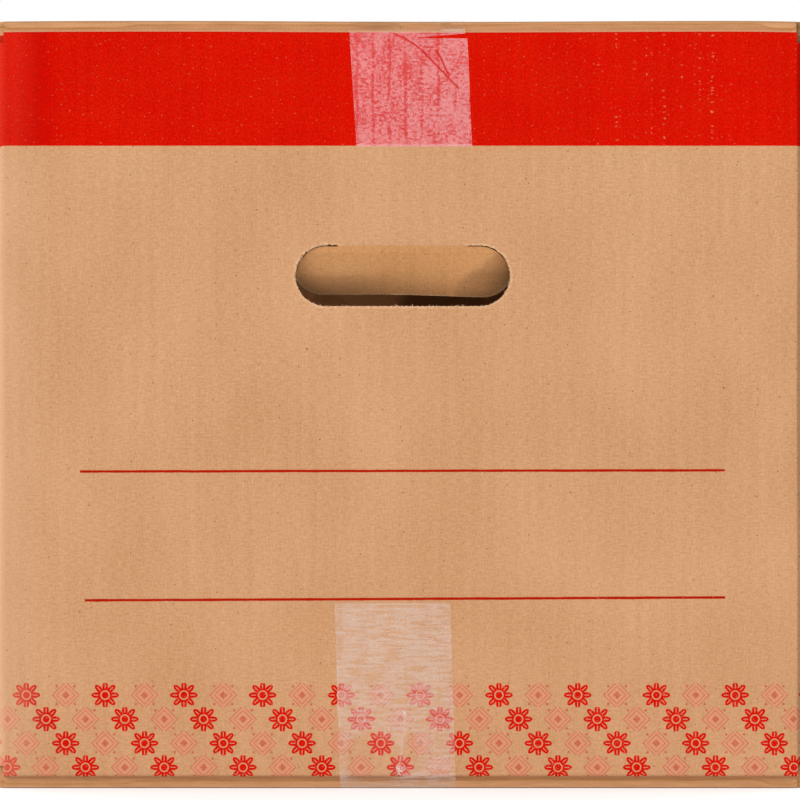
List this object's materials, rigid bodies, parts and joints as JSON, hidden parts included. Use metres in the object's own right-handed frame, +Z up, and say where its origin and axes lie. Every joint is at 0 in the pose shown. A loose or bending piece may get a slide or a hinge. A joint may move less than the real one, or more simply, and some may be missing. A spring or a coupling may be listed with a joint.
{
  "type": "cardboard moving box",
  "caption": "Closed slotted carton of corrugated board, taped top and bottom, with a push-in hand hole in each end panel.",
  "frame": {"origin": "middle of the underside, on the surface that the box stands on", "axes": "+X to the right across the front end panel, +Y from the front end panel to the back one, +Z up"},
  "size_m": [0.35, 0.5502, 0.3315],
  "materials": {
    "kraft_board": "brown kraft corrugated board with a red printed band, two red lines and a row of small printed ornaments",
    "clear_tape": "clear packing tape, hazy where the glue lies unevenly"
  },
  "bodies": {
    "root": {"carton": "kraft_board", "top_tape": "clear_tape", "bottom_tape": "clear_tape"}
  },
  "joints": []
}
